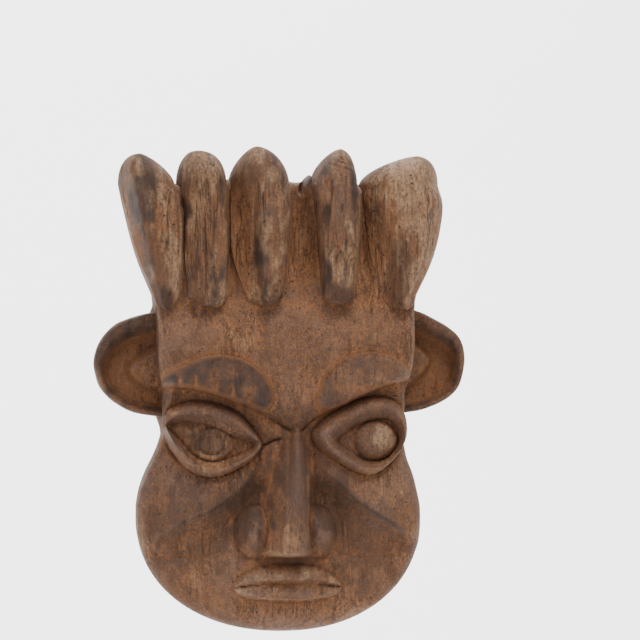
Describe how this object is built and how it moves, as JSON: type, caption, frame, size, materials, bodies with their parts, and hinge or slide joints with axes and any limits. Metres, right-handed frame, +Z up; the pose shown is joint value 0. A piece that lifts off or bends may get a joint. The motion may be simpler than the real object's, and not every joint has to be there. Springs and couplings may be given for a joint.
{
  "type": "carved wooden wall mask",
  "caption": "Hand-carved wooden face mask with a crown of upright rounded lobes, pegged lobes and ears, a hollowed back and a steel hanging ring.",
  "frame": {"origin": "on the flat back, on the centre line, level with the feet of the crown lobes", "axes": "+Z up, the mask faces -Y, its back lies in the plane Y = 0"},
  "size_m": [0.2556, 0.0894, 0.3298],
  "materials": {
    "carved_wood": "matte, weathered",
    "peg_wood": "raw end grain",
    "hanger_steel": "dull, rusted"
  },
  "bodies": {
    "mask": {"face_block": "carved_wood", "crown_lobe_1": "carved_wood", "crown_lobe_2": "carved_wood", "crown_lobe_3": "carved_wood", "crown_lobe_4": "carved_wood", "crown_lobe_5": "carved_wood", "ear_left": "carved_wood", "ear_right": "carved_wood", "lobe_peg_1_lower": "peg_wood", "lobe_peg_1_upper": "peg_wood", "lobe_peg_2_lower": "peg_wood", "lobe_peg_2_upper": "peg_wood", "lobe_peg_3_lower": "peg_wood", "lobe_peg_3_upper": "peg_wood", "lobe_peg_4_lower": "peg_wood", "lobe_peg_4_upper": "peg_wood", "lobe_peg_5_lower": "peg_wood", "lobe_peg_5_upper": "peg_wood", "ear_peg_left_upper": "peg_wood", "ear_peg_left_lower": "peg_wood", "ear_peg_right_upper": "peg_wood", "ear_peg_right_lower": "peg_wood", "hanger_strap": "hanger_steel", "hanger_screw_upper": "hanger_steel", "hanger_screw_lower": "hanger_steel"},
    "ring": {"hanger_ring": "hanger_steel"}
  },
  "joints": [
    {"name": "ring_hinge", "type": "hinge", "parent": "mask", "child": "ring", "pos_m": [0, -0.00445, -0.024], "axis": [1, 0, 0], "range_deg": [0, 178]}
  ]
}
